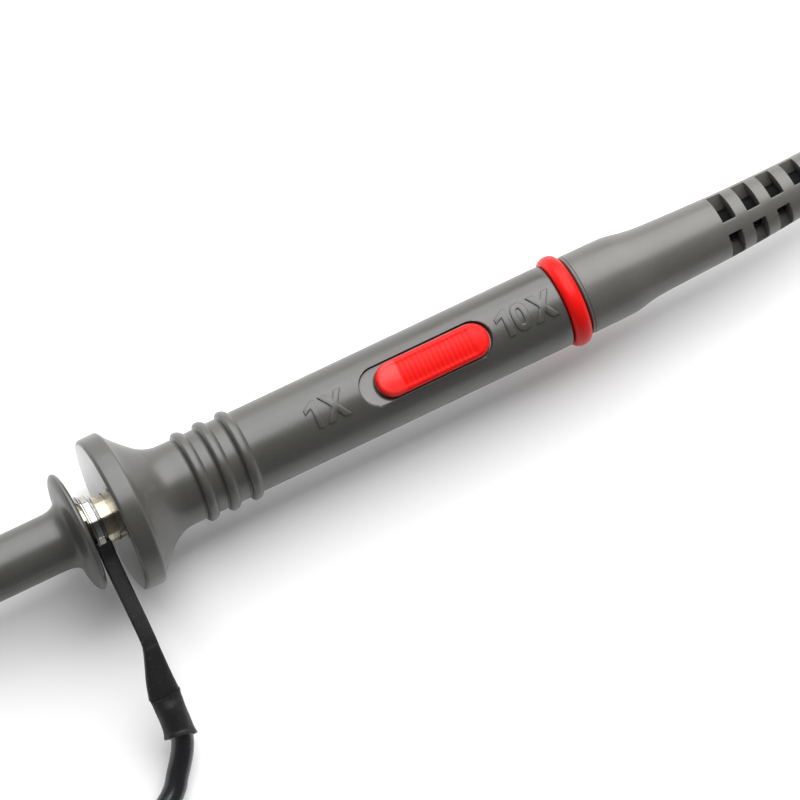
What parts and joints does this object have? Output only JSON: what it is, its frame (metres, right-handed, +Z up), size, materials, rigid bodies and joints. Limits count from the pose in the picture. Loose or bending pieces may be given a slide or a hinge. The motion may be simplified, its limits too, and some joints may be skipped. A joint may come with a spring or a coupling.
{
  "type": "oscilloscope probe",
  "caption": "Passive oscilloscope probe with retractable hook tip, clip-on ground lead, attenuation slide switch, coiled coaxial cable and a compensation box with bayonet plug.",
  "frame": {"origin": "bottom centre of the whole object's box, on the plane it lies on", "axes": "+X along the probe body from the tip towards the cable, +Z up from the table through the slide switch"},
  "size_m": [0.3092, 0.136, 0.0199],
  "materials": {
    "grey_plastic": "satin moulded",
    "boot_rubber": "matt moulded",
    "red_plastic": "satin moulded",
    "black_plastic": "satin moulded",
    "cable_jacket": "satin extruded",
    "heatshrink": "matt shrunk sleeve",
    "bright_nickel": "bright nickel plate",
    "warm_nickel": "nickel plate",
    "gold_contact": "gold plate",
    "brass": "turned",
    "copper": "bare copper",
    "circuit_board": "solder mask on glass epoxy",
    "resistor_coat": "lacquer",
    "capacitor_coat": "dipped",
    "cream_plastic": "moulded",
    "white_insulator": "turned",
    "gasket_rubber": "moulded",
    "spring_steel": "plated wire",
    "plated_steel": "nickel plated sheet"
  },
  "bodies": {
    "probe": {"body_shell": "grey_plastic", "ground_barrel": "warm_nickel", "nose_insulator": "black_plastic", "probe_needle": "gold_contact", "shield_tube": "brass", "attenuator_board": "circuit_board", "input_resistor": "resistor_coat", "tip_capacitor": "capacitor_coat", "switch_base": "black_plastic", "core_wire": "copper", "id_ring": "red_plastic", "probe_boot": "boot_rubber", "crimp_ferrule": "bright_nickel", "coax_cable": "cable_jacket", "comp_box_base": "grey_plastic", "comp_box_cover": "grey_plastic", "comp_board": "circuit_board", "trimmer_base": "cream_plastic", "comp_resistor": "resistor_coat", "comp_capacitor": "capacitor_coat", "id_ring_bnc": "red_plastic", "bnc_boot": "boot_rubber", "bnc_crimp": "bright_nickel", "bnc_body": "bright_nickel", "bnc_insulator": "white_insulator", "bnc_pin": "gold_contact", "bnc_gasket": "gasket_rubber", "bnc_spring_washer": "bright_nickel"},
    "switch": {"switch_knob": "red_plastic", "switch_wiper": "gold_contact"},
    "hook_tip": {"hook_core": "grey_plastic", "hook_socket": "gold_contact", "hook_wire": "spring_steel", "hook_spring": "spring_steel"},
    "hook_sleeve": {"hook_sleeve": "grey_plastic"},
    "ground_lead": {"ground_clip": "bright_nickel", "ground_strap": "heatshrink", "ground_shrink": "heatshrink", "ground_wire": "cable_jacket", "gator_boot": "cable_jacket", "gator_lower_jaw": "plated_steel", "gator_pin": "spring_steel", "gator_spring": "spring_steel"},
    "gator_jaw": {"gator_upper_jaw": "plated_steel"},
    "bnc_nut": {"bnc_coupling_nut": "bright_nickel"},
    "trimmer": {"trimmer_screw": "brass"}
  },
  "joints": [
    {"name": "switch_slide", "type": "slide", "parent": "probe", "child": "switch", "axis": [-1, 0, 0], "range_m": [0, 0.002]},
    {"name": "hook_tip_pull_off", "type": "slide", "parent": "probe", "child": "hook_tip", "axis": [-1, 0, 0], "range_m": [0, 0.045]},
    {"name": "hook_sleeve_slide", "type": "slide", "parent": "hook_tip", "child": "hook_sleeve", "axis": [1, 0, 0], "range_m": [0, 0.0012], "stiffness_N_per_m": 500, "springref_m": -0.002, "deforming": ["hook_spring"]},
    {"name": "ground_swivel", "type": "hinge", "parent": "hook_sleeve", "child": "ground_lead", "pos_m": [-0.05052, -0.02608, 0.00995], "axis": [-1, 0, 0], "continuous": true},
    {"name": "gator_hinge", "type": "hinge", "parent": "ground_lead", "child": "gator_jaw", "pos_m": [-0.13862, -0.05208, 0.00435], "axis": [0, 1, 0], "range_deg": [0, 32], "stiffness_Nm_per_rad": 0.05, "springref_deg": -20.05},
    {"name": "bnc_nut_turn", "type": "hinge", "parent": "probe", "child": "bnc_nut", "pos_m": [0.00738, 0.04986, 0.0075], "axis": [-1, 0, 0], "continuous": true},
    {"name": "trimmer_turn", "type": "hinge", "parent": "probe", "child": "trimmer", "pos_m": [0.02538, 0.04986, 0.011], "axis": [0, 0, 1], "continuous": true}
  ]
}
